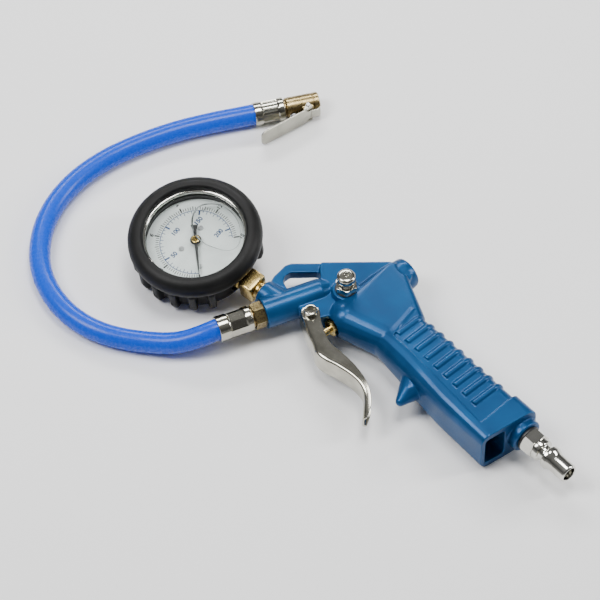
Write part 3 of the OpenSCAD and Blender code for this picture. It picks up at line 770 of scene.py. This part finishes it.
# the thick part over the valve runs from its round nose to the grip, and is scooped round the rear boss
def sideBlock():
    balls = [(18.6, -12.2, 0, 12.2)]
    for side in (-1, 1):
        balls += [(25, -6, side * 9.4, 1.4), (60, -4.8, side * 9.4, 1.4), (63.5, -9, side * 8.4, 2),
                  (55.5, -24, side * 7.4, 3), (45, -44, side * 7.4, 5), (27, -42, side * 2.4, 10.4),
                  (24, -24, side * 1.4, 9.6)]
    shape = asObject(ballHull(balls, 12))
    scoop = turned([(0, -20), (7.4, -20), (7.4, 20), (0, 20)], 64)
    return combine(shape, [asObject(moved(scoop, shift(67.4, -12.2, 0)))], "DIFFERENCE")


def makeGunBody():
    half = gunShape["barrel"]
    barrel = turned([(0, gunShape["muzzle"]), (half, gunShape["muzzle"]), (half, 14), (half - 1.6, 20),
                     (half - 1.8, 46), (half - 4, 50), (0, 50)])
    toGrip = spin(angles["grip"], "Z")
    alongBarrel = shift(0, 18, 0) @ spin(90, "Y")
    alongValve = toGrip @ shift(0, -10.5, 0) @ spin(90, "Y")
    downGrip = toGrip @ shift(39.5, 0, 0) @ spin(90, "X")
    downStem = shift(*gaugeAt) @ spin(angles["stem"], "Z") @ spin(90, "X")
    body = asObject(moved(barrel, alongBarrel))
    stemBoss = turned([(0, 52), (8.1, 52), (8.4, 58), (9.2, 66), (0, 70)])
    loop = slab(roundCorners([(-14, 26), (-11, 35.5), (-7.5, 38.6), (2.2, 43.6), (6, 43.4), (60, 20.8), (50, 12),
                              (-10, 18)], 2.2), -gunShape["loopHalf"], gunShape["loopHalf"])
    hole = slab(roundCorners([(-3.6, 20), (-3.7, 33.2), (-1.4, 36.4), (2.8, 37.5), (17.6, 31.6), (19.2, 29.4),
                              (19, 20)], 2), -20, 20)
    web = slab(roundCorners([(16, 22), (20.5, 34.6), (59.5, 18.6), (64, 15), (67.6, 3.6), (58, -4), (24, -4)], 2),
               -gunShape["webHalf"], gunShape["webHalf"])
    lug = slab(roundCorners([(-3.2, 3), (-3.2, 12), (22, 12), (22, -4), (14, -3.2), (4, -1.6)], 2), -6.1, 6.1)
    bleedBoss = turned([(0, 0), (9, 0), (8.6, 8), (8.1, 10.5), (0, 10.5)])
    chamber = ballHull([(18.6, -12.2, 0, 12.3), (56, -10.5, 0, 10.4)], 18)
    rearBoss = turned([(0, 50), (9.9, 50), (10.1, 65.6), (9.7, 68.4), (9.1, 69.3), (0, 69.4)])
    valveBlock = sideBlock()
    valveBlock.data.transform(toGrip)
    combine(body, [
        asObject(moved(stemBoss, downStem)),
        combine(asObject(loop), [asObject(hole)], "DIFFERENCE"),
        asObject(web),
        asObject(lug),
        asObject(moved(bleedBoss, shift(26.5, 8.6, 0))),
        asObject(moved(chamber, toGrip)),
        asObject(moved(rearBoss, alongValve)),
        valveBlock])
    grip = gripSolid()
    grip.data.transform(toGrip)
    combine(body, [grip])
    bores = [
        moved(turned([(0, -24), (6.3, -24), (6.3, -12), (0, -12)]), alongBarrel),
        moved(turned([(0, 51), (6.8, 51), (6.8, 57.8), (0, 57.8)]), downStem),
        moved(turned([(0, -20), (2.7, -20), (2.7, 20), (0, 20)]), shift(1, 2.5, 0)),
        moved(turned([(0, 0), (4.3, 0), (4.3, 20), (0, 20)]), shift(26.5, 8.6, 0)),
        moved(turned([(0, 5), (5.9, 5), (5.9, 9.4), (4.3, 9.4), (4.3, 32), (7.8, 32), (7.8, 75), (0, 75)]), alongValve),
        moved(turned([(0, 130), (6.9, 130), (6.9, 147), (0, 147)]), downGrip),
        moved(softened(block((13.6, -143, -11.2), (27.4, -111, 11.2)), 2.5, 3), toGrip)]
    combine(body, [asObject(b) for b in bores], "DIFFERENCE")
    melt(body, gunShape["voxel"], gunShape["easing"], gunShape["keep"])
    dress(body, "gunBody", gunPlace, "gun", looks["bluePaint"], ["gun_body"], 60)
    print("gun body made, faces:", len(body.data.polygons))


triggerShape = {
    "sheet": 1.2,
    "half": 7.7,
    "bend": 2.8,
    "ear": 5.6,
    "stations": 60,
    "tipHalf": 4.6,
    "front": [(-4.6, 6), (-6.2, -8), (-6.6, -17), (-7.6, -25), (-5.2, -31.5), (-0.4, -38.5), (4.8, -48), (7, -56),
              (6.2, -64), (-0.4, -77.5)],
    "rear": [(6.2, 0.5), (4.4, -6), (3, -17), (3.8, -23.5), (6.6, -30.5), (10.2, -42), (11.8, -53), (11.4, -61),
             (8.6, -70), (2.6, -77.8)],
}


# a channel of bent sheet: each ring is its cut across, from one flange's edge round the bend to the other's
def channelRing(front, rear):
    sheet, half = triggerShape["sheet"], triggerShape["half"]
    narrow = min(max((-50 - front.y) / 27, 0), 1)
    half -= (half - triggerShape["tipHalf"]) * narrow * narrow * (3 - 2 * narrow)
    depth = (rear - front).length
    way = (rear - front).normalized()
    bend = min(triggerShape["bend"], depth - 0.3)
    inner = max(bend - sheet, 0.4)
    outside = [(depth, -half)] + [
        (bend - bend * math.sin(math.radians(a)), -half + bend - bend * math.cos(math.radians(a)))
        for a in range(0, 91, 15)]
    floor = max(min(sheet, depth - 0.2), 0.2)
    inside = [(depth, -half + sheet)] + [
        (floor + inner - inner * math.sin(math.radians(a)),
         -half + sheet + inner - inner * math.cos(math.radians(a))) for a in range(0, 91, 15)]
    # the near edge is rounded over the sheet's thickness
    outside[0] = (depth - 0.25, -half)
    inside[0] = (depth - 0.25, -half + sheet)
    nose = [(depth, -half + sheet * 0.3), (depth, -half + sheet * 0.7)]
    left = outside[::-1] + nose + inside
    right = [(d, -z) for d, z in inside[::-1] + nose[::-1] + outside]
    return [(front.x + way.x * d, front.y + way.y * d, z) for d, z in left + right]


def makeTrigger():
    count = triggerShape["stations"]
    fronts = smoothLine([(x, y, 0) for x, y in triggerShape["front"]], count)
    rears = smoothLine([(x, y, 0) for x, y in triggerShape["rear"]], count)
    trigger = asObject(lofted([channelRing(f, r) for f, r in zip(fronts, rears)]))
    half, sheet = triggerShape["half"], triggerShape["sheet"]
    ears = []
    for z in (-half, half - sheet):
        disc = turned([(0, z), (triggerShape["ear"], z), (triggerShape["ear"], z + sheet), (0, z + sheet)], 64)
        ears.append(asObject(moved(softened(disc, 0.3, 2, 50), shift(1, 2.5, 0))))
    combine(trigger, ears)
    boreTool = moved(turned([(0, -20), (2.56, -20), (2.56, 20), (0, 20)], 48), shift(1, 2.5, 0))
    combine(trigger, [asObject(boreTool)], "DIFFERENCE")
    dress(trigger, "triggerLever", gunPlace, "trigger", looks["nickel"], ["trigger"], 38)
    print("trigger made")


# a nut: its corners are turned off at both ends
def hexPrism(flats, z0, z1, cut=0.9):
    corner = flats / math.sqrt(3)
    outline = [(corner * math.cos(math.radians(60 * k)), corner * math.sin(math.radians(60 * k))) for k in range(6)]
    nut = asObject(slab(outline, z0, z1))
    low = cut * 0.58
    cone = turned([(0, z0), (corner - cut, z0), (corner + 0.05, z0 + low), (corner + 0.05, z1 - low),
                   (corner - cut, z1), (0, z1)], 96)
    return combine(nut, [asObject(cone)], "INTERSECT")


boltShape = {"shank": 2.5, "head": 4.0, "under": 8.0, "top": 11.2, "socket": 4.2}


def makePivotBolt():
    s = boltShape
    profile = [(0, -13), (2.1, -13), (s["shank"], -12.6), (s["shank"], s["under"]), (s["head"] - 0.3, s["under"]),
               (s["head"], s["under"] + 0.4), (s["head"], s["top"] - 0.7), (s["head"] - 0.2, s["top"] - 0.25),
               (s["head"] - 0.7, s["top"]), (0, s["top"])]
    bolt = asObject(turned(profile, 64))
    hexHole = [(s["socket"] / math.sqrt(3) * math.cos(math.radians(60 * k + 15)),
                s["socket"] / math.sqrt(3) * math.sin(math.radians(60 * k + 15))) for k in range(6)]
    combine(bolt, [asObject(slab(hexHole, s["top"] - 2, s["top"] + 1))], "DIFFERENCE")
    lead = turned([(0, s["top"] - 0.5), (2.3, s["top"] - 0.5 + 0.1), (2.9, s["top"] + 0.3), (0, s["top"] + 0.3)], 48)
    combine(bolt, [asObject(lead)], "DIFFERENCE")
    dress(bolt, "pivotBolt", gunPlace @ shift(1, 2.5, 0), "gun", looks["nickel"], ["pivot_bolt"])
    nut = hexPrism(8, -12, -8, 0.7)
    bore = turned([(0, -14), (2.55, -14), (2.55, -6), (0, -6)], 48)
    combine(nut, [asObject(bore)], "DIFFERENCE")
    dress(nut, "pivotNut", gunPlace @ shift(1, 2.5, 0), "gun", looks["nickel"], ["pivot_nut"])


bleedShape = {"flats": 12, "seat": 10.5, "headBottom": 19.4, "headRadius": 5.6}


def makeBleedValve():
    seat, b = bleedShape["seat"], bleedShape["headBottom"]
    body = hexPrism(bleedShape["flats"], seat + 0.8, seat + 5.3, 0.8)
    collar = turned([(0, 3), (4, 3), (4, seat + 0.9), (5.2, seat + 5), (5.2, seat + 5.7), (4.8, seat + 6.1),
                     (0, seat + 6.1)])
    bore = turned([(0, 0), (1.56, 0), (1.56, 13), (3.2, 13), (3.2, 24), (0, 24)], 48)
    combine(body, [asObject(collar)])
    combine(body, [asObject(bore)], "DIFFERENCE")
    dress(body, "bleedBody", bleedPlace @ spin(12, "Z"), "gun", looks["nickel"], ["bleed_body"])
    top = bleedShape["headRadius"]
    head = turned([(0, 3.5), (1.5, 3.5), (1.5, b), (top - 0.7, b), (top - 0.25, b + 0.2), (top, b + 0.6),
                   (top, b + 2.9), (top - 0.15, b + 3.6), (top - 0.6, b + 4.2), (top - 1.3, b + 4.6),
                   (top - 2.2, b + 4.8), (1.3, b + 4.85), (1.0, b + 4.6), (0.8, b + 4.3), (0, b + 4.2)], 72)
    dress(asObject(head), "bleedButton", bleedPlace, "bleed_head", looks["nickel"], ["bleed_button"])


inletShape = {"flats": 15, "nose": 5.9, "groove": 5.0}


def makeInletPlug():
    nose, groove = inletShape["nose"], inletShape["groove"]
    plug = hexPrism(inletShape["flats"], 147, 155, 1.1)
    outer = [(3.6, 133.5), (6.4, 133.5), (6.4, 147.1), (6.9, 147.2), (7.05, 154.6), (7.1, 158), (6.8, 158.6),
             (groove + 0.3, 159), (groove, 159.5), (groove, 161.6), (groove + 0.5, 162.2), (6.9, 162.8),
             (7.35, 163.3), (7.4, 164.5), (7.35, 165.7), (7, 166.3), (nose + 0.3, 168.2), (nose, 168.8), (nose, 179.2),
             (nose - 0.25, 179.9), (nose - 0.8, 180.4), (4.7, 180.4), (4.4, 180.1), (4.4, 172), (3.6, 171.4)]
    combine(plug, [asObject(turned([(0, 133.4), (3.6, 133.4), (3.6, 182), (0, 182)], 48))], "DIFFERENCE")
    combine(plug, [asObject(turned(outer, 96, ring=True))])
    dress(plug, "inletPlug", inletPlace, "gun", looks["chrome"], ["inlet_plug"])
    seal = [(6.7, 145.05), (7.7, 145.05), (8, 145.4), (8.05, 146), (8, 146.6), (7.7, 146.95), (6.7, 146.95)]
    dress(asObject(turned(seal, 72, ring=True)), "inletSeal", inletPlace, "gun", looks["sealRubber"],
          ["inlet_seal"])


def makeHoseAdapter():
    nut = hexPrism(14, -30, -23, 0.9)
    barrel = turned([(0, -49), (3.7, -49), (4.4, -45.2), (3.7, -45), (4.4, -41.2), (3.7, -41), (4.4, -37.2),
                     (4, -37), (4, -33), (6.1, -33), (6.45, -32.6), (6.45, -30.6), (6.1, -30.2), (6.1, -22.9),
                     (6, -13), (0, -13)], 72)
    combine(nut, [asObject(barrel)])
    dress(nut, "hoseAdapter", barrelPlace @ spin(12, "Z"), "gun", looks["darkBrass"], ["hose_adapter"])


def makeGaugeSocket():
    # z runs down the stem: inner block, neck, square wrench block, thread
    inner = block((-6, -6.5, 16.9), (6, 4.5, 29.6))
    square = softened(block((-7, -7, 38.6), (7, 7, 48.4)), 1.1, 3)
    neck = turned([(0, 29), (5.4, 29), (5.4, 30.5), (6.8, 30.8), (6.8, 36.5), (6.0, 37.2), (6.0, 39), (0, 39)])
    foot = turned([(0, 47), (5.6, 47), (5.6, 50), (6.3, 50.6), (6.5, 51.4), (6.5, 56.6), (0, 56.6)])
    socket = asObject(inner)
    combine(socket, [asObject(neck), asObject(square), asObject(foot)])
    dress(socket, "gaugeSocket", stemPlace, "gun", looks["brass"], ["gauge_socket"])


bootShape = {
    "ringCentre": (33.6, 12.4),
    "ringRadius": 7.2,
    "lip": 31,
    "lugWidth": 4.6,
    "lugStep": 18,
    "voxel": 0.5,
}


def makeBoot():
    rx, ry = bootShape["ringCentre"]
    size = bootShape["ringRadius"]
    arc = [(rx + size * math.cos(math.radians(a)), ry + size * math.sin(math.radians(a))) for a in range(-80, 101, 10)]
    profile = [(20, -12.4), (31.6, -12.4), (33.4, -11.2), (34.6, -8), (34.9, 4)] + arc
    profile += [(bootShape["lip"] + 0.5, 18.9), (bootShape["lip"] + 0.05, 17.9), (bootShape["lip"], 15.35),
                (32.35, 15.35), (32.35, 6.5), (31.55, 6.5), (31.55, -10.25), (20, -10.25)]
    boot = asObject(turned(profile, 160, ring=True))
    lugs = []
    half = bootShape["lugWidth"] / 2
    for i in range(2, 19):
        lug = slab(roundCorners([(32.6, 9.5), (37, 9.5), (40, 7.5), (39.8, -4), (38.2, -9.6), (33, -11.6)], 1.6),
                   -half, half)
        softened(lug, 1.4, 3, 40)
        lugs.append(asObject(moved(lug, spin(-90 + bootShape["lugStep"] * i, "Z") @ spin(90, "X"))))
    combine(boot, lugs)
    stemSlot = softened(block((-7.8, -45, -7.8), (7.8, -20, 7.8)), 3, 3)
    plugHole = moved(turned([(0, -34), (4.3, -34), (4.3, -20), (0, -20)], 48), spin(90, "X"))
    combine(boot, [asObject(stemSlot), asObject(plugHole)], "DIFFERENCE")
    melt(boot, bootShape["voxel"], 3, 0.5)
    dress(boot, "gaugeBoot", gaugePlace, "gun", looks["bootRubber"], ["gauge_boot"], 60)
    print("gauge boot made, faces:", len(boot.data.polygons))


bezelShape = {"inner": 29.8, "outer": 32.2, "top": 15.2}


def makeBezelAndLens():
    i, o, t = bezelShape["inner"], bezelShape["outer"], bezelShape["top"]
    ring = [(31.45, 7.4), (o, 7.4), (o, 14.3), (o - 0.15, 14.8), (o - 0.5, 15.1), (o - 0.9, t), (i + 1.0, t),
            (i + 0.45, t - 0.15), (i + 0.1, t - 0.5), (i, t - 0.9), (i, 13.45), (31.45, 13.45)]
    dress(asObject(turned(ring, 160, ring=True)), "chromeBezel", gaugePlace, "gun", looks["chrome"],
          ["bezel"])
    top = [(31.2 * k / 24, 14.6 - 1.2 * (31.2 * k / 24 / 31.2) ** 2) for k in range(25)]
    under = [(31.2, 11.4), (28.3, 11.4), (27, 11.6)]
    under += [(26 * k / 12, 12.5 - 0.7 * (k / 12) ** 2) for k in range(11, -1, -1)]
    dress(asObject(turned(top + under, 128)), "clearLens", gaugePlace, "gun", looks["clearLens"],
          ["lens"])
    gasket = [(29.6, 10.62), (31.2, 10.62), (31.25, 11), (31.2, 11.38), (29.75, 11.38), (29.6, 11.2)]
    dress(asObject(turned(gasket, 128, ring=True)), "lensGasket", gaugePlace, "gun", looks["sealRubber"],
          ["lens_gasket"])


dialShape = {
    "face": 6.52,
    "zero": 225,  # degrees, lower left
    "sweep": 270,
    "bar": 15,
    "psi": 213,
    "barRing": 22.6,
    "psiRing": 21.2,
}


def dialAngle(part):
    return math.radians(dialShape["zero"] - dialShape["sweep"] * part)


# marks are thin plates printed on the face
def radialMark(bm, angle, r0, r1, width, z):
    out = Vector((math.cos(angle), math.sin(angle), 0))
    side = Vector((-out.y, out.x, 0)) * width / 2
    corners = [out * r0 - side, out * r0 + side, out * r1 + side, out * r1 - side]
    low = [bm.verts.new(c + Vector((0, 0, z))) for c in corners]
    high = [bm.verts.new(c + Vector((0, 0, z + 0.03))) for c in corners]
    bm.faces.new(low[::-1])
    bm.faces.new(high)
    for k in range(4):
        n = (k + 1) % 4
        bm.faces.new((low[k], low[n], high[n], high[k]))


def arcMark(bm, radius, width, z, first=0.0, last=1.0):
    steps = 120
    for k in range(steps):
        a = dialAngle(first + (last - first) * k / steps)
        b = dialAngle(first + (last - first) * (k + 1) / steps)
        corners = [(radius - width / 2, a), (radius + width / 2, a), (radius + width / 2, b), (radius - width / 2, b)]
        verts = [bm.verts.new((r * math.cos(t), r * math.sin(t), z + 0.03)) for r, t in corners]
        bm.faces.new(verts)


def numberMark(text, angle, radius, size):
    curve = bpy.data.curves.new("number", "FONT")
    curve.body = text
    curve.size = size
    curve.align_x = "CENTER"
    curve.align_y = "CENTER"
    curve.extrude = 0.015
    curve.offset = 0.13
    obj = bpy.data.objects.new("number", curve)
    bpy.context.scene.collection.objects.link(obj)
    graph = bpy.context.evaluated_depsgraph_get()
    mesh = bpy.data.meshes.new_from_object(obj.evaluated_get(graph))
    bpy.data.objects.remove(obj)
    mesh.transform(shift(radius * math.cos(angle), radius * math.sin(angle), dialShape["face"] + 0.02))
    return mesh


def addMeshes(bm, meshes):
    for mesh in meshes:
        bm.from_mesh(mesh)
    return bm


def makeDial():
    face = dialShape["face"]
    plate = [(1.9, 6.0), (30.1, 6.0), (30.2, 6.1), (30.2, 6.4), (30.1, 6.5), (1.9, 6.5)]
    dress(asObject(turned(plate, 128, ring=True)), "dialPlate", gaugePlace, "gun", looks["dialEnamel"],
          ["dial"])
    bar, black = dialShape["barRing"], bmesh.new()
    for k in range(dialShape["bar"] * 5 + 1):
        big, middle = k % 15 == 0, k % 5 == 0
        reach = 3.2 if big else 2.4 if middle else 2.0
        width = 0.95 if big else 0.5 if middle else 0.4
        radialMark(black, dialAngle(k / (dialShape["bar"] * 5)), bar, bar + reach, width, face)
    numbers = [numberMark(str(v), dialAngle(v / dialShape["bar"]), 27.5, 3.5) for v in (3, 6, 9, 12, 15)]
    addMeshes(black, numbers)
    dress(asObject(black), "barScale", gaugePlace, "gun", looks["dialBlack"])
    psi, blue = dialShape["psiRing"], bmesh.new()
    arcMark(blue, psi + 0.7, 0.45, face)
    for k in range(dialShape["psi"] // 5 + 1):
        big, middle = k % 10 == 0, k % 2 == 0
        reach = 3.2 if big else 2.2 if middle else 1.3
        width = 1.0 if big and k else 0.38
        radialMark(blue, dialAngle(k * 5 / dialShape["psi"]), psi - reach + 0.7, psi + 0.7, width, face)
    numbers = [numberMark(str(v), dialAngle(v / dialShape["psi"]), 14.6 if v > 99 else 15.5, 4.0)
               for v in (50, 100, 150, 200)]
    addMeshes(blue, numbers)
    dress(asObject(blue), "psiScale", gaugePlace, "gun", looks["dialBlue"])
    print("dial made")


needleShape = {"length": 24, "height": 8.8, "thick": 0.6}


def makeNeedle():
    reach, z, t = needleShape["length"], needleShape["height"], needleShape["thick"]
    outline = [(2.2, -1.0), (reach - 5, -0.5), (reach, -0.12), (reach, 0.12), (reach - 5, 0.5), (2.2, 1.0)]
    tail = [(-2.2, -0.8), (-7, -1.2), (-10.5, -2.3), (-10.5, 2.3), (-7, 1.2), (-2.2, 0.8)]
    needle = asObject(softened(slab(outline, z, z + t), 0.12, 2, 50))
    ring = turned([(2.62, z), (3.35, z), (3.4, z + 0.1), (3.4, z + t - 0.1), (3.3, z + t), (2.62, z + t)], 64,
                  ring=True)
    combine(needle, [asObject(softened(slab(tail, z, z + t), 0.12, 2, 50)), asObject(ring)])
    dress(needle, "needle", gaugePlace @ spin(dialShape["zero"], "Z"), "pointer", looks["needleBlack"],
          ["needle"])
    hub = turned([(0, 8.3), (2.3, 8.3), (2.6, 8.6), (2.6, 9.9), (2.4, 10.2), (2.1, 10.3), (0.9, 10.3), (0.7, 10.1),
                  (0, 10.1)], 48)
    dress(asObject(hub), "needleHub", gaugePlace, "pointer", looks["brass"], ["needle_hub"])


bubbleShape = {
    "height": 10.9,
    "wire": 0.5,
    # the edge of the air bubble in the liquid, under the glass
    "edge": [(1.5, 0.5), (4.3, 5.8), (10.7, 11.2), (17.6, 12.5), (23, 9.2), (27, 1.3), (26, -9), (21.5, -17),
             (14, -23), (8.3, -23.3), (4.1, -19.5), (0.9, -9.5), (0.8, -3.5)],
}


def makeBubble():
    edge = [Vector((x, y, bubbleShape["height"])) for x, y in bubbleShape["edge"]]
    line = smoothLine(edge + edge[:1], 160)[:-1]
    bm = bmesh.new()
    rows = []
    for i, p in enumerate(line):
        way = (line[(i + 1) % len(line)] - line[i - 1]).normalized()
        side = way.cross(Vector((0, 0, 1)))
        size = bubbleShape["wire"] * (0.55 + 0.45 * math.sin(2 * math.pi * i / len(line) + 0.6))
        size = max(size, 0.1)
        turns = [2 * math.pi * k / 10 for k in range(10)]
        rows.append([bm.verts.new(p + size * (math.cos(t) * side + math.sin(t) * Vector((0, 0, 0.7))))
                     for t in turns])
    for low, high in list(zip(rows, rows[1:])) + [(rows[-1], rows[0])]:
        for k in range(10):
            n = (k + 1) % 10
            bm.faces.new((low[k], low[n], high[n], high[k]))
    bmesh.ops.recalc_face_normals(bm, faces=bm.faces)
    dress(asObject(bm), "airBubble", gaugePlace, "gun", looks["bubbleEdge"])


# the inner pieces keep their shape and get a finish
nodeLooks = {
    "valve_gland": "brass", "gland_oring": "sealRubber", "chamber_plug": "brass", "chamber_oring": "sealRubber",
    "bleed_washer": "sealRubber", "valve_stem": "brass", "poppet_seal": "sealRubber", "valve_spring": "steel",
    "bleed_spring": "steel", "gauge_case": "blackSteel", "dial_screws": "steel", "stop_pin": "steel",
    "fill_plug": "sealRubber", "movement_frame": "brass", "bourdon_tube": "brass", "hairspring": "brass",
    "pinion": "brass", "sector": "brass", "link": "brass", "chuck_seal": "sealRubber", "chuck_depressor": "brass",
    "lever_pin": "steel", "lever_spring": "steel"}


def finishNodes():
    for name, look in nodeLooks.items():
        mesh = frame["nodes"][name].data
        mesh.materials.clear()
        mesh.materials.append(looks[look])


def makeFloor():
    bm = bmesh.new()
    size = 3
    verts = [bm.verts.new(p) for p in ((-size, -size, 0), (size, -size, 0), (size, size, 0), (-size, size, 0))]
    bm.faces.new(verts)
    floor = asObject(bm, "floor")
    floor.location.z = -0.0002
    material, nodes, links = newMaterial("paleFloor")
    shader = nodes["Principled BSDF"]
    c = studio["floorColour"]
    tone = blendColours(nodes, links, noiseAt(nodes, links, 3), tuple(v * 0.98 for v in c[:3]), c[:3])
    links.new(tone, shader.inputs["Base Color"])
    shader.inputs["Roughness"].default_value = 0.7
    floor.data.materials.append(material)


makeCamera()
looks = makeMaterials()
gunFerrule, chuckFerrule = makeFerrules()
chuckPieces = [gunFerrule, chuckFerrule, makeChuckBody(), makeChuckLever()]
makeHose()
makeStudio()
makeFloor()
makeGunBody()
makeTrigger()
makePivotBolt()
makeBleedValve()
makeInletPlug()
makeHoseAdapter()
makeGaugeSocket()
makeBoot()
makeBezelAndLens()
makeDial()
makeNeedle()
makeBubble()
finishNodes()

print("scene ready")
